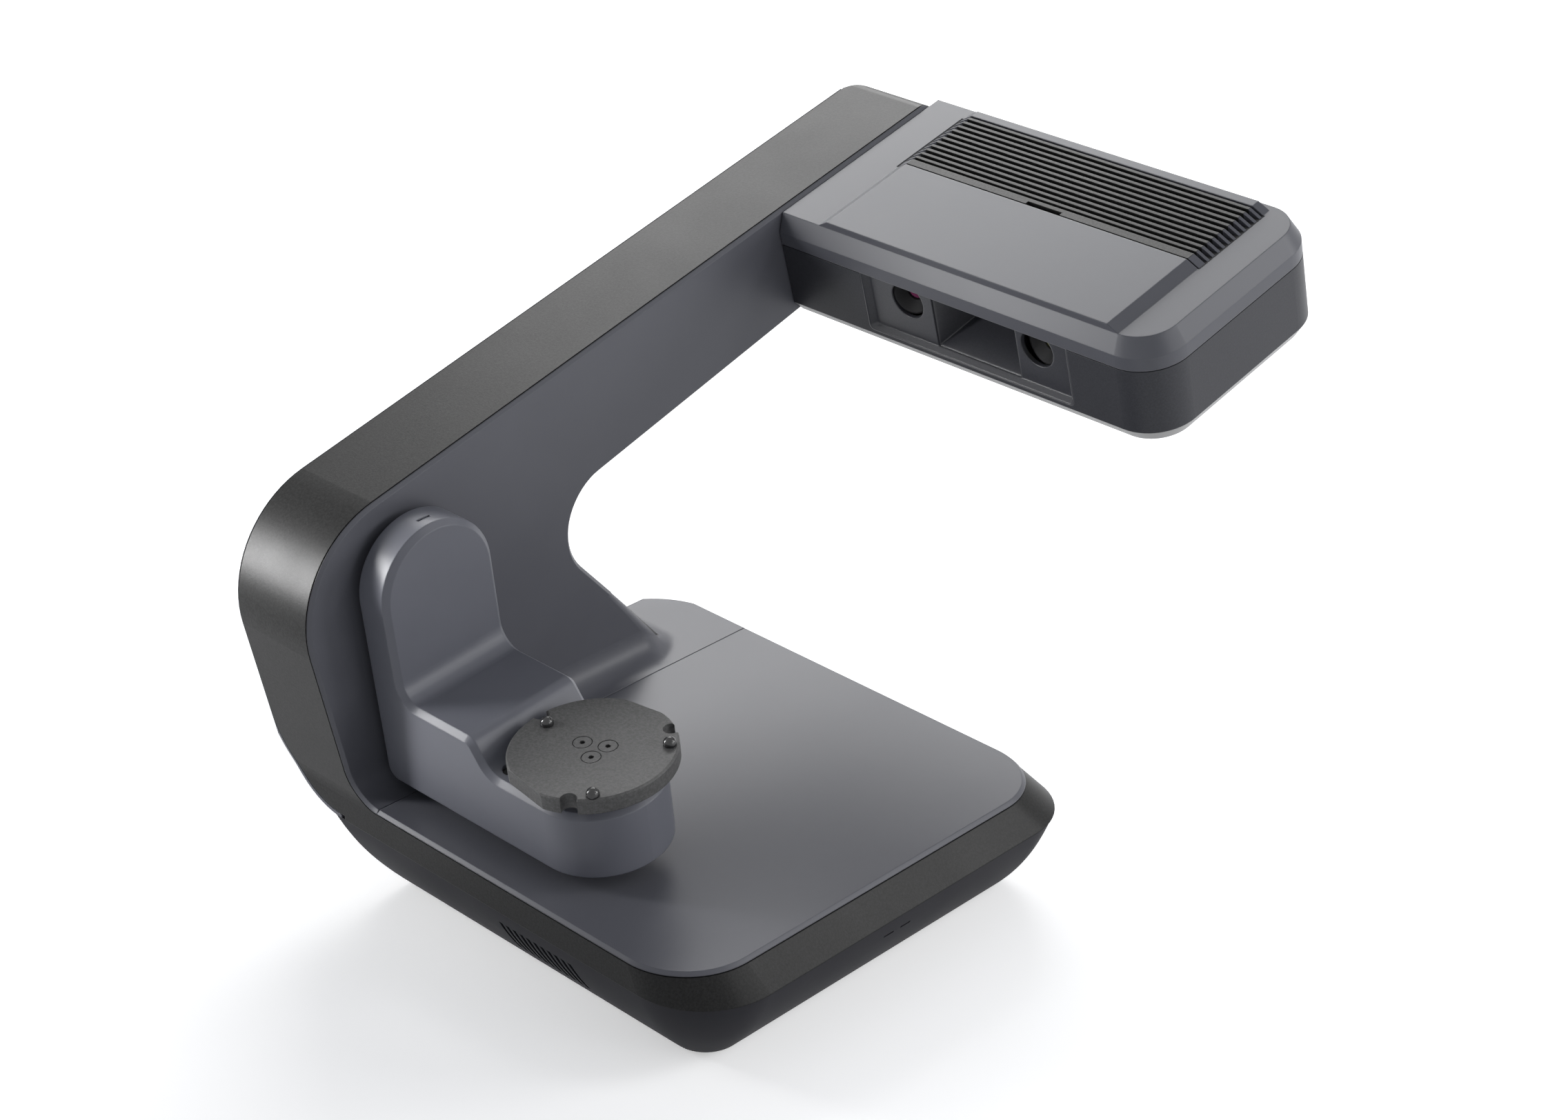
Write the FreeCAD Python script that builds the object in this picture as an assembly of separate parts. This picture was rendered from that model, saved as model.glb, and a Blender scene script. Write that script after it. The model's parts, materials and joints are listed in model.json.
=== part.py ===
import FreeCAD, Part
import os
from math import asin, cos, degrees, pi, radians, sin, sqrt, tan

V = FreeCAD.Vector
os.makedirs("parts", exist_ok=True)

# Desktop scanner: a C-shaped stand on a base, a scan head on the upper arm and a swing arm with a
# turntable. All sizes are millimetres. The pieces are drawn with x = 0 on the stand's inner face, y = 0 at
# the front edge of the base top and z = 0 on the base top, and are moved to the common origin at the end.

# Stand side outline
stand_thickness = 55.5
front_y = -1.6
front_lean = 12.0
toe_radius = 30.0
brow_radius = 57.0
arm_top_y = 190.0
arm_top_z = 192.5
arm_slope = 14.13
arm_end_length = 224.0
arm_end_radius = 10.0
arm_end_plan_radius = 24.0
arm_end_plan_overrun = 0.1
underside_y = 213.3
underside_z = 131.0
underside_slope = 16.6
throat_radius = 30.0
foot_y = 163.4
foot_z = 52.1
foot_slope = -48.7
foot_fillet = 16.0
foot_blend_top = 45.0
foot_edge_low = 8.0
foot_edge_high = 3.0
cover_thickness = 2.4
cover_bevel = 1.8
wall = 3.0
shut_line = 0.4
shut_depth = 1.0

# Base
base_right = 229.1
base_back = 248.4
rim_flare = 10.3
rim_drop = 16.5
front_right_radius = 38.0
back_right_radius = 36.0
back_left_radius = 46.0
lower_left_radius = 45.0
shell_left = -24.0
shell_levels = [(-16.5, 0.5), (-28.7, 5.2), (-43.3, 13.3), (-51.9, 19.9), (-57.5, 25.0)]
shell_wall = 2.5
foot_radius = 8.0
foot_height = 3.5
foot_pocket = 1.0
vent_count = 11
vent_pitch = 4.74
vent_width = 2.4
ballast_thickness = 4.0

# Scan head
head_set_back = 118.2
head_sink = 1.4
head_length = 238.0
head_depth = 120.9
head_flank = 4.4
head_corner = 20.0
head_shoulder = 9.5
head_seam = 16.6
head_wall_bottom = 52.5
head_bottom = 59.4
head_wall = 2.5
head_gap = 0.6
panel_left = 25.8
panel_right = head_length - 19.6
panel_rise = 3.6
panel_slope_run = 6.2
panel_back = head_depth - 3.9
grille_front = 60.5
grille_back = panel_back - 5.0
slat_count = 11
slat_pitch = (grille_back - grille_front - 6.3) / slat_count
slat_width = 1.8
wide_slat = 4.6
window_left = 54.5
window_right = 188.5
window_top = 16.6
window_bottom = 50.6
window_recess = 3.2
lens_radius = 10.0
lens_height = 26.2
left_lens_x = 82.3
right_lens_x = 166.0
toe_in = 12.0

# Swing arm and turntable
disc_x = 121.6
disc_y = 44.2
disc_z = 60.4
rest_tilt = 6.1
disc_diameter = 80.0
disc_thickness = 8.0
flat_distance = 37.75
arm_half_width = 33.25
arm_back = -115.7
plate_front = -96.5
ledge_height = 1.5
tray_height = -14.4
tray_bottom = -49.3
pivot_height = 49.7
arm_bevel = 2.8
arm_wall = 3.0
arm_cover_thickness = 2.5
arm_cover_edge = 1.5
arm_cap_radius = 3.7
shaft_radius = 8.0
spindle_radius = 6.0
running_gap = 0.05
side_gap = 0.3

# Drives
tilt_pulley_radius = 24.0
tilt_pinion_radius = 6.0
tilt_motor_y = 62.0
tilt_motor_z = 44.0
motor_side = 36.0
table_pulley_radius = 18.0
table_pinion_radius = 6.0
table_motor_u = -62.0
belt_thickness = 1.5


# A reach past every surface, for the blocks that trim the pieces
far = 2 * (base_back + arm_end_length)


# Outlines and simple solids
def crossing(p, u, q, w):
    turn = u.x * w.y - u.y * w.x
    t = ((q.x - p.x) * w.y - (q.y - p.y) * w.x) / turn
    return p + u * t


def lines_meet(p, p_angle, q, q_angle):
    u = V(cos(radians(p_angle)), sin(radians(p_angle)), 0)
    w = V(cos(radians(q_angle)), sin(radians(q_angle)), 0)
    point = crossing(V(p[0], p[1], 0), u, V(q[0], q[1], 0), w)
    return point.x, point.y


# Corners run counter-clockwise as (a, b, radius); a positive distance draws the outline in.
def inset(corners, distance):
    points = [V(a, b, 0) for a, b, radius in corners]
    count = len(points)
    sides = []
    for i in range(count):
        along = (points[(i + 1) % count] - points[i]).normalize()
        inward = V(-along.y, along.x, 0)
        sides.append((points[i] + inward * distance, along))
    result = []
    for i in range(count):
        p, u = sides[i - 1]
        q, w = sides[i]
        convex = u.x * w.y - u.y * w.x > 0
        corner = crossing(p, u, q, w)
        radius = corners[i][2]
        if radius > 0:
            radius = max(radius - distance if convex else radius + distance, 0.3)
        result.append((corner.x, corner.y, radius))
    return result


def place(plane, a, b, level):
    if plane == "xy":
        return V(a, b, level)
    if plane == "yz":
        return V(level, a, b)
    return V(a, level, b)


def outline(corners, plane, level):
    count = len(corners)
    ends = []
    for i in range(count):
        p = V(corners[i][0], corners[i][1], 0)
        u = (V(corners[i - 1][0], corners[i - 1][1], 0) - p).normalize()
        w = (V(corners[(i + 1) % count][0], corners[(i + 1) % count][1], 0) - p).normalize()
        radius = corners[i][2]
        if radius <= 0:
            ends.append((p, None, p))
            continue
        half = u.getAngle(w) / 2
        middle = (u + w).normalize()
        centre = p + middle * (radius / sin(half))
        ends.append((p + u * (radius / tan(half)), centre - middle * radius, p + w * (radius / tan(half))))
    edges = []
    for i in range(count):
        start, mid, end = ends[i]
        if mid is not None:
            arc_points = [place(plane, q.x, q.y, level) for q in (start, mid, end)]
            edges.append(Part.Arc(*arc_points).toShape())
        following = ends[(i + 1) % count][0]
        if (following - end).Length > 1e-6:
            edges.append(Part.makeLine(place(plane, end.x, end.y, level),
                                       place(plane, following.x, following.y, level)))
    return Part.Wire(edges)


def prism(corners, plane, start, end):
    face = Part.Face(outline(corners, plane, start))
    return face.extrude(place(plane, 0, 0, end - start))


def loft(first, start, second, end, plane):
    wires = [outline(first, plane, start), outline(second, plane, end)]
    return Part.makeLoft(wires, True, True)


def rounded(x0, x1, y0, y1, radius=0.0):
    return [(x0, y0, radius), (x1, y0, radius), (x1, y1, radius), (x0, y1, radius)]


def box(x0, x1, y0, y1, z0, z1):
    return Part.makeBox(x1 - x0, y1 - y0, z1 - z0, V(x0, y0, z0))


def rod(radius, start, end):
    a = V(*start)
    b = V(*end)
    return Part.makeCylinder(radius, (b - a).Length, a, b - a)


def tube(outer, inner, start, end):
    return rod(outer, start, end).cut(rod(inner, start, end))


def cone(first_radius, second_radius, start, end):
    a = V(*start)
    b = V(*end)
    return Part.makeCone(first_radius, second_radius, (b - a).Length, a, b - a)


def joined(pieces):
    result = pieces[0]
    if len(pieces) > 1:
        result = result.multiFuse(pieces[1:])
    return result.removeSplitter()


def turned(shape, angle, corner):
    copy = shape.copy()
    copy.rotate(V(0, 0, 0), V(1, 0, 0), angle)
    copy.translate(V(*corner))
    return copy


def to_head(shape):
    return turned(shape, arm_slope, (0, head_front[0], head_front[1]))


def to_arm(shape):
    return turned(shape, rest_tilt, (disc_x, disc_y, disc_z))


# Stand outlines
def along(point, angle, length):
    return point[0] + length * cos(radians(angle)), point[1] + length * sin(radians(angle))


arm_top = (arm_top_y, arm_top_z)
brow = lines_meet((front_y, 0), 90 + front_lean, arm_top, arm_slope)
arm_end_top = along(arm_top, arm_slope, arm_end_length)
head_front = along(along(arm_end_top, arm_slope, -head_set_back), arm_slope - 90, head_sink)
arm_end_low = lines_meet(arm_end_top, arm_slope - 90, (underside_y, underside_z), underside_slope)
throat = lines_meet((underside_y, underside_z), underside_slope, (foot_y, foot_z), foot_slope)
foot = lines_meet((foot_y, foot_z), foot_slope, (0, 0), 0)
toe = lines_meet((foot_y, foot_z), foot_slope, (0, -10), 0)

upper_side = [
    (throat[0], throat[1], throat_radius),
    (arm_end_low[0], arm_end_low[1], arm_end_radius),
    (arm_end_top[0], arm_end_top[1], arm_end_radius),
    (brow[0], brow[1], brow_radius),
    (front_y, 0, toe_radius),
]
side_outline = [(front_y, -10, 0), (toe[0], -10, 0)] + upper_side
footed_outline = [(front_y, -10, 0), (base_back, -10, 0), (base_back, 0, 0),
                  (foot[0], 0, foot_fillet)] + upper_side

top_outline = [
    (-stand_thickness, front_y, 0),
    (base_right, front_y, front_right_radius),
    (base_right, base_back, back_right_radius),
    (-stand_thickness, base_back, back_left_radius),
]
seam_outline = [
    (-stand_thickness, front_y, 0),
    (base_right + rim_flare, front_y, front_right_radius + 4),
    (base_right + rim_flare, base_back + rim_flare, back_right_radius),
    (-stand_thickness, base_back + rim_flare, back_left_radius),
]


# The stand's left side rounds under the base; depth draws the surface in.
def left_side_form(depth):
    x = -stand_thickness
    corners = [(x + depth, -rim_drop + depth, lower_left_radius - depth)]
    if depth > 0:
        corners.append((x + lower_left_radius + 1, -rim_drop + depth, 0))
        corners.append((x + lower_left_radius + 1, -rim_drop, 0))
    corners += [(far, -rim_drop, 0), (far, far, 0), (x + depth, far, 0)]
    return prism(corners, "xz", -far, far)


def plan_form(distance, top, bottom):
    return prism(inset(top_outline, distance), "xy", bottom, top)


# Stand covers
# The line that the inner cover's surface follows down the stand and out over the base, drawn in by depth
def under_cover(depth, top):
    return [
        (-far, -far, 0),
        (foot_fillet, -far, 0),
        (foot_fillet, -depth, 0),
        (-depth, -depth, foot_fillet + depth),
        (-depth, top, 0),
        (-far, top, 0),
    ]


def front_profile():
    top_y = front_y - far * tan(radians(front_lean))
    return [(front_y, -far, 0), (base_back, -far, 0), (base_back, far, 0), (top_y, far, 0),
            (front_y, 0, toe_radius)]


# The lower end of the stand, with its inner rear edge rounder towards the base
def leg_form():
    low = lines_meet((foot_y, foot_z), foot_slope, (0, -4), 0)
    high = lines_meet((foot_y, foot_z), foot_slope, (0, foot_blend_top), 0)
    leg = prism([(-far, -4, 0), (low[0], -4, 0), (high[0], foot_blend_top, 0), (-far, foot_blend_top, 0)],
                "yz", -far, 0)
    rear_edge = [e for e in leg.Edges if e.BoundBox.XMin > -0.001 and e.BoundBox.YMin > 0
                 and e.BoundBox.ZLength > 1]
    return leg.makeFillet(foot_edge_low, foot_edge_high, rear_edge)


# The leg run into the base top with a rolled blend
def foot_form():
    body = leg_form().fuse(box(-far, far, -far, far, -20, 0)).removeSplitter()
    inner = [e for e in body.Edges if abs(e.BoundBox.ZMin) < 0.001 and e.BoundBox.ZMax < 0.001
             and e.BoundBox.XMax < 1 and e.BoundBox.YMax < foot[0] + 1]
    body = body.makeFillet(foot_fillet, inner).common(prism(front_profile(), "yz", -far, far))
    front = [e for e in body.Edges
             if e.BoundBox.YMax < front_y + 0.5 and -0.01 < e.BoundBox.XMin < base_right
             and e.BoundBox.ZMin > -0.5 and not (e.BoundBox.ZMin > foot_blend_top - 0.1)]
    return body.makeChamfer(cover_bevel, front)


def c_inner_cover():
    lip = prism(inset(side_outline, shut_depth), "yz", -cover_thickness, -cover_bevel)
    face = loft(side_outline, -cover_bevel, inset(side_outline, cover_bevel), 0, "yz")
    upper = lip.fuse(face).common(box(-10, 10, -far, far, foot_blend_top, far))
    lower = foot_form().common(box(-stand_thickness, foot_fillet, -far, far, -cover_thickness,
                                   foot_blend_top))
    front_half = box(-far, far, -far, base_back / 2, -10, far)
    lower = lower.common(plan_form(0, far, -cover_thickness).fuse(front_half))
    lower = lower.common(left_side_form(0))
    lower = lower.cut(leg_form().common(box(-far, -cover_thickness, -far, far, -far, far)))
    lower = lower.cut(prism(under_cover(cover_thickness, far), "xz", -far, foot[0] - foot_fillet))
    front_groove = prism(under_cover(cover_bevel, far), "xz", -far, base_back / 2)
    lower = lower.cut(front_groove.cut(prism(inset(front_profile(), shut_depth), "yz", -far, far)))
    rear_groove = box(-far, 30, base_back - shut_depth, base_back + 1, -cover_thickness, -cover_bevel)
    rear_bevel = prism([(base_back + 0.1, 0.1, 0), (base_back - cover_bevel, 0.1, 0),
                        (base_back + 0.1, -cover_bevel, 0)], "yz", -stand_thickness - 1, 30)
    shaft_hole = rod(shaft_radius + 3.0, (-10, pivot_y, pivot_z), (10, pivot_y, pivot_z))
    bracket_hole = to_head(box(-10, 1, 41.5, 78.5, -46.5, -25.5))
    cover = joined([upper, lower])
    return cover.cut(rear_groove).cut(rear_bevel).cut(shaft_hole).cut(bracket_hole)


# The corner taken off the far end of the upper arm on its outer side; depth moves the round in
def arm_end_corner(depth):
    x = -stand_thickness + arm_end_plan_radius
    d = head_set_back - arm_end_plan_radius + arm_end_plan_overrun
    block = box(-stand_thickness - 10, x, d, d + far, -far, 30)
    return to_head(block.cut(rod(arm_end_plan_radius - depth, (x, d, -far), (x, d, 40))))


# What the base's rounded rear corner takes off the stand
def rear_left_corner():
    return box(-far, -20, base_back / 2, far, -20, 34).cut(plan_form(0, 40, -30))


def c_outer_cover():
    x = -stand_thickness
    full = joined([
        loft(inset(side_outline, cover_bevel), x, side_outline, x + cover_bevel, "yz"),
        prism(side_outline, "yz", x + cover_bevel, 0),
        prism(top_outline, "xy", -rim_drop, -cover_thickness),
    ])
    full = full.cut(rear_left_corner())
    layer = left_side_form(0).cut(left_side_form(cover_thickness))
    cover = full.common(layer).common(box(-far, -12, -far, far, -rim_drop, far))
    groove = left_side_form(cover_bevel).cut(prism(inset(side_outline, shut_depth), "yz", -60, 0)
                                             .fuse(plan_form(shut_depth, -1.9, -30)))
    cover = cover.cut(groove).cut(arm_end_corner(0))
    solids = sorted(cover.Solids, key=lambda s: -s.Volume)
    return solids[0]


def stand_band():
    x = -stand_thickness + cover_thickness
    c_part = prism(side_outline, "yz", x, -cover_thickness)
    c_part = c_part.cut(rear_left_corner())
    c_part = c_part.cut(box(-far, 0, base_back / 2, far, -4, foot_blend_top).cut(leg_form()))
    rim = loft(seam_outline, -rim_drop, top_outline, -cover_thickness, "xy")
    web = [(-cover_thickness - 2, -cover_thickness - 2, 0), (foot_fillet, -cover_thickness - 2, 0),
           (foot_fillet, -cover_thickness, 0),
           (-cover_thickness, -cover_thickness, foot_fillet + cover_thickness),
           (-cover_thickness, 20, 0), (-cover_thickness - 2, 20, 0)]
    web = prism(web, "xz", -far, front_y + wall).common(prism(front_profile(), "yz", -far, far))
    hollow_c = prism(inset(side_outline, wall), "yz", x - 1, 1).cut(arm_end_corner(wall))
    hollow_rim = loft(inset(seam_outline, wall), -rim_drop, inset(top_outline, wall), -cover_thickness, "xy")
    outer = joined([c_part, rim]).common(left_side_form(cover_thickness)).cut(arm_end_corner(0))
    return joined([outer.cut(hollow_c).cut(hollow_rim), web])


def base_top_plate():
    lip = prism(inset(top_outline, shut_depth), "xy", -cover_thickness, -cover_bevel)
    face = loft(top_outline, -cover_bevel, inset(top_outline, cover_bevel), 0, "xy")
    plate = joined([lip, face]).common(box(foot_fillet, far, -far, far, -10, 10))
    groove = box(foot_fillet - 1, foot_fillet + shut_line, -far, far, -shut_depth, 1)
    return plate.cut(groove)


# Bottom shell
def shell_outline(distance, extra=0.0):
    s = distance + extra
    return [
        (shell_left + s, front_y + s, max(8.0 - extra, 3.0)),
        (base_right + rim_flare - s, front_y + s, max(front_right_radius + 4 - s, 6.0)),
        (base_right + rim_flare - s, base_back + rim_flare - s, max(back_right_radius - s, 6.0)),
        (shell_left + s, base_back + rim_flare - s, max(30.0 - s, 6.0)),
    ]


def shell_form(extra, lowest):
    wires = [outline(shell_outline(s, extra), "xy", max(level, lowest)) for level, s in shell_levels]
    return Part.makeLoft(wires, True, False)


foot_right = base_right - 32.0
foot_back = base_back - 32.0
foot_places = [(18, 40), (foot_right, 40), (foot_right, foot_back), (18, foot_back)]
socket_left = 120.0
socket_right = 205.0
socket_plane = base_back - 14.4
screw_places = [(107, 34), (107, base_back - 26), (10, 128), (base_right - 24, 128)]
screw_bore = 1.7
screw_pocket = 1.2
screw_pocket_radius = 3.2


def bottom_shell():
    lowest = shell_levels[-1][0]
    outer = shell_form(0, lowest)
    inner = shell_form(shell_wall, lowest + shell_wall)
    shell = outer.cut(inner)
    neck = box(shell_left + 0.5, shell_left + 3.0, front_y + 8.5, base_back - 22, -17.0, -12.0)
    neck = neck.cut(left_side_form(0))
    recess = box(socket_left - 2, socket_right + 2, socket_plane - 2, base_back + 14, -54, -18)
    recess = recess.common(outer)
    shell = joined([shell, neck, recess])
    shell = shell.cut(box(socket_left, socket_right, socket_plane, far, -51, -20.5))
    shell = shell.cut(box(socket_left + 2, socket_right - 2, socket_plane - 3, socket_plane + 1, -49, -22.5))
    for i in range(vent_count):
        top_x = 99.6 + i * vent_pitch
        half = vent_width / 2
        slot = [(top_x + 2.9 - half, -43, 0), (top_x + 2.9 + half, -43, 0),
                (top_x + half, -26, 0), (top_x - half, -26, 0)]
        shell = shell.cut(prism(slot, "xz", front_y - 2, front_y + 22))
    for start in (119.3, 130.6):
        shell = shell.cut(box(base_right - 4, base_right + 16, start, start + 6.7, -27.9, -26.8))
    for x, y in foot_places:
        shell = shell.cut(rod(foot_radius, (x, y, lowest - 1), (x, y, lowest + foot_pocket)))
    for x, y in screw_places:
        shell = shell.cut(rod(screw_bore, (x, y, lowest - 1), (x, y, lowest + 4)))
        shell = shell.cut(rod(screw_pocket_radius, (x, y, lowest - 1), (x, y, lowest + screw_pocket)))
    return shell


def rubber_foot(x, y):
    top = shell_levels[-1][0] + foot_pocket
    bottom = top - foot_height
    return cone(foot_radius - 1.2, foot_radius, (x, y, bottom), (x, y, bottom + 1.5)).fuse(
        rod(foot_radius, (x, y, bottom + 1.5), (x, y, top)))


def feet():
    return Part.makeCompound([rubber_foot(x, y) for x, y in foot_places])


def shell_screw(x, y):
    bottom = shell_levels[-1][0]
    seat = bottom + screw_pocket
    screw = rod(screw_pocket_radius - 0.1, (x, y, bottom + 0.1), (x, y, seat)).fuse(
        rod(screw_bore - 0.1, (x, y, seat), (x, y, bottom + shell_wall + ballast_thickness)))
    return screw.cut(rod(1.1, (x, y, bottom), (x, y, bottom + 0.8)))


def shell_screws():
    return Part.makeCompound([shell_screw(x, y) for x, y in screw_places])


floor_top = shell_levels[-1][0] + shell_wall
ballast_top = floor_top + ballast_thickness
board_bottom = -44.0
board_thickness = 1.6
board_top = board_bottom + board_thickness
stud_places = [(22, 66), (88, 66), (88, 194), (22, 194)]


def ballast_plate():
    plate = prism(rounded(8, base_right - 22, 30, base_back - 22, 5), "xy", floor_top, ballast_top)
    for x, y in screw_places:
        plate = plate.cut(rod(screw_bore, (x, y, floor_top - 1), (x, y, ballast_top + 1)))
    studs = [rod(3.0, (x, y, ballast_top), (x, y, board_bottom)) for x, y in stud_places]
    return joined([plate] + studs)


# Rear sockets, side by side at one height
socket_z = -36.0
socket_rim = 1.2
inlet_x = 140.0
inlet_radius = 5.5
inlet_bore = 3.0
inlet_depth = 10.0
port_x = 161.0
port_width = 12.0
port_height = 11.0
port_depth = 14.0
port_z = socket_z - 0.5
switch_x = 187.0
switch_width = 14.0
switch_height = 19.0
switch_depth = 14.0
switch_wall = 1.5
rocker_gap = 0.3
rocker_y = socket_plane - 4.0


def socket_panel():
    panel = box(socket_left + 2, socket_right - 2, socket_plane - 2, socket_plane, -49, -22.5)
    panel = panel.cut(rod(inlet_radius, (inlet_x, socket_plane - 10, socket_z), (inlet_x, far, socket_z)))
    panel = panel.cut(port_form(0, socket_plane - 10, far))
    return panel.cut(switch_form(0, socket_plane - 10, far))


def power_inlet():
    back = socket_plane - inlet_depth
    body = tube(inlet_radius, inlet_bore, (inlet_x, back, socket_z), (inlet_x, socket_plane, socket_z))
    rim = tube(inlet_radius + 2.0, inlet_bore, (inlet_x, socket_plane, socket_z),
               (inlet_x, socket_plane + socket_rim, socket_z))
    stop = rod(inlet_radius, (inlet_x, back - 1, socket_z), (inlet_x, back, socket_z))
    pin = rod(1.0, (inlet_x, back, socket_z), (inlet_x, socket_plane - 2, socket_z))
    return joined([body, rim, stop, pin])


def port_form(wall_inside, start, end):
    half_width = port_width / 2 - wall_inside
    half_height = port_height / 2 - wall_inside
    return box(port_x - half_width, port_x + half_width, start, end,
               port_z - half_height, port_z + half_height)


def data_socket():
    shell = port_form(0, socket_plane - port_depth, socket_plane + 0.6)
    shell = shell.cut(port_form(1.0, socket_plane - port_depth + 2, far))
    tongue = box(port_x - 3.5, port_x + 3.5, socket_plane - port_depth + 1, socket_plane - 3,
                 port_z - 1, port_z + 1)
    return shell.fuse(tongue).removeSplitter()


def switch_form(inside, start, end):
    half_width = switch_width / 2 - inside
    half_height = switch_height / 2 - inside
    return box(switch_x - half_width, switch_x + half_width, start, end,
               socket_z - half_height, socket_z + half_height)


def switch_frame():
    rim = switch_form(-switch_wall, socket_plane, socket_plane + socket_rim)
    body = switch_form(0, socket_plane - switch_depth, socket_plane)
    return joined([rim, body]).cut(switch_form(switch_wall, socket_plane - 10, far))


def switch_rocker():
    y = rocker_y
    z = socket_z
    half_width = switch_width / 2 - switch_wall - rocker_gap
    corners = [(y - 4.5, z - 3.5, 0), (y + 4.4, z - 7.3, 0), (y + 6.8, z - 7.0, 0), (y + 6.0, z, 0),
               (y + 6.8, z + 7.0, 0), (y + 4.4, z + 7.3, 0), (y - 4.5, z + 3.5, 0)]
    return prism(corners, "yz", switch_x - half_width, switch_x + half_width)


# Electronics in the base
def control_board():
    board = box(16, 94, 60, 200, board_bottom, board_top)
    chips = [box(x0, x1, y0, y1, board_top, board_top + height) for x0, x1, y0, y1, height in (
        (30, 46, 90, 106, 1.5),
        (56, 70, 86, 100, 1.5),
        (58, 74, 130, 150, 6.4),
        (24, 40, 150, 170, 3.9),
        (76, 90, 180, 196, 9.4),
        (24, 36, 68, 74, 7.4),
    )]
    cans = [rod(5, (50, y, board_top), (50, y, board_top + 12.4)) for y in (170, 184)]
    return joined([board] + chips + cans)


def power_supply():
    body = box(110, 170, 110, 190, ballast_top, -24)
    for i in range(8):
        y = 118 + i * 9
        body = body.cut(box(112, 168, y, y + 4, -27, -23))
    return body


fan_x = 124.7
fan_y = 34.0
fan_z = -31.0
fan_side = 40.0
fan_depth = 10.0
fan_bore = 18.6
fan_hub = 8.0
fan_strut = 1.2
fan_reach = fan_side / 2 - 0.5


def base_fan_housing():
    half = fan_side / 2
    back = fan_y + fan_depth
    frame = prism(rounded(fan_x - half, fan_x + half, fan_z - half, fan_z + half, 3), "xz", fan_y, back)
    frame = frame.cut(rod(fan_bore, (fan_x, fan_y - 4, fan_z), (fan_x, back + 6, fan_z)))
    hub = rod(fan_hub, (fan_x, back - fan_strut, fan_z), (fan_x, back, fan_z))
    struts = [box(fan_x - fan_reach, fan_x + fan_reach, back - fan_strut, back, fan_z - 1, fan_z + 1),
              box(fan_x - 1, fan_x + 1, back - fan_strut, back, fan_z - fan_reach, fan_z + fan_reach)]
    return joined([frame, hub] + struts)


def fan_wheel(tip_radius, hub_radius, depth, blades):
    hub = Part.makeCylinder(hub_radius, depth)
    pieces = [hub]
    for i in range(blades):
        blade = Part.makeBox(tip_radius - hub_radius + 1.5, 1.2, depth * 1.1,
                             V(hub_radius - 1.5, -0.6, -depth * 0.05))
        blade.rotate(V(0, 0, depth / 2), V(1, 0, 0), 38)
        blade.rotate(V(0, 0, 0), V(0, 0, 1), 360.0 * i / blades)
        pieces.append(blade)
    wheel = joined(pieces)
    bound = Part.makeCylinder(tip_radius, depth)
    return wheel.common(bound)


def base_fan_rotor():
    wheel = fan_wheel(fan_bore - 0.8, fan_hub, 7.5, 7)
    wheel.rotate(V(0, 0, 0), V(1, 0, 0), -90)
    wheel.translate(V(fan_x, fan_y + 0.8, fan_z))
    return wheel


# Tilt drive inside the stand
pivot_y = disc_y - pivot_height * sin(radians(rest_tilt))
pivot_z = disc_z + pivot_height * cos(radians(rest_tilt))
frame_right = -9.0
frame_left = -12.0


def spine_frame():
    plate = prism(inset(side_outline, wall), "yz", frame_left, frame_right)
    plate = plate.cut(box(-60, 60, -60, 300, -20, -cover_thickness))
    for corners in (
        [(150, 128, 6), (230, 149, 6), (230, 170, 6), (150, 150, 6)],
        [(250, 156, 6), (330, 178, 6), (330, 196, 6), (250, 176, 6)],
        [(0, 15, 5), (35, 15, 5), (25, 60, 5), (-6, 60, 5)],
        [(90, 10, 6), (150, 10, 6), (115, 60, 6), (90, 60, 6)],
    ):
        plate = plate.cut(prism(corners, "yz", frame_left - 1, frame_right + 1))
    plate = plate.cut(rod(15.0, (-20, pivot_y, pivot_z), (0, pivot_y, pivot_z)))
    plate = plate.cut(rod(3.2, (-20, tilt_motor_y, tilt_motor_z), (0, tilt_motor_y, tilt_motor_z)))
    return plate


def tilt_bearing_block():
    flange = rod(21.0, (frame_right, pivot_y, pivot_z), (-cover_thickness, pivot_y, pivot_z))
    neck = rod(15.0, (frame_left, pivot_y, pivot_z), (frame_right, pivot_y, pivot_z))
    bore = rod(shaft_radius + running_gap, (-20, pivot_y, pivot_z), (10, pivot_y, pivot_z))
    block = joined([flange, neck]).cut(bore)
    for i in range(4):
        angle = radians(45 + 90 * i)
        y = pivot_y + 18 * cos(angle)
        z = pivot_z + 18 * sin(angle)
        block = block.cut(rod(1.5, (-6, y, z), (0, y, z)))
    return block


belt_left = -26.0
belt_right = -17.0
wheel_flange = 1.5
belt_side = wheel_flange + 0.4


def tilt_shaft():
    inner_end = disc_x + arm_back
    shaft = rod(shaft_radius, (belt_left - 4, pivot_y, pivot_z), (inner_end, pivot_y, pivot_z))
    collar = rod(16.0, (inner_end - 3.5, pivot_y, pivot_z), (inner_end, pivot_y, pivot_z))
    return joined([shaft, collar])


def grooved_pulley(radius, bore, start, end):
    body = rod(radius + 2.0, start, end)
    a = V(*start)
    b = V(*end)
    unit = (b - a).normalize()
    first = a + unit * wheel_flange
    last = b - unit * wheel_flange
    channel = tube(radius + 3.0, radius, tuple(first), tuple(last))
    return body.cut(channel).cut(rod(bore, start, end))


def tilt_pulley():
    start = (belt_left, pivot_y, pivot_z)
    end = (belt_right, pivot_y, pivot_z)
    pulley = grooved_pulley(tilt_pulley_radius, shaft_radius, start, end)
    for i in range(5):
        angle = 2 * pi * i / 5
        y = pivot_y + 16 * cos(angle)
        z = pivot_z + 16 * sin(angle)
        pulley = pulley.cut(rod(4.0, (belt_left - 1, y, z), (belt_right + 1, y, z)))
    return pulley


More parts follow.
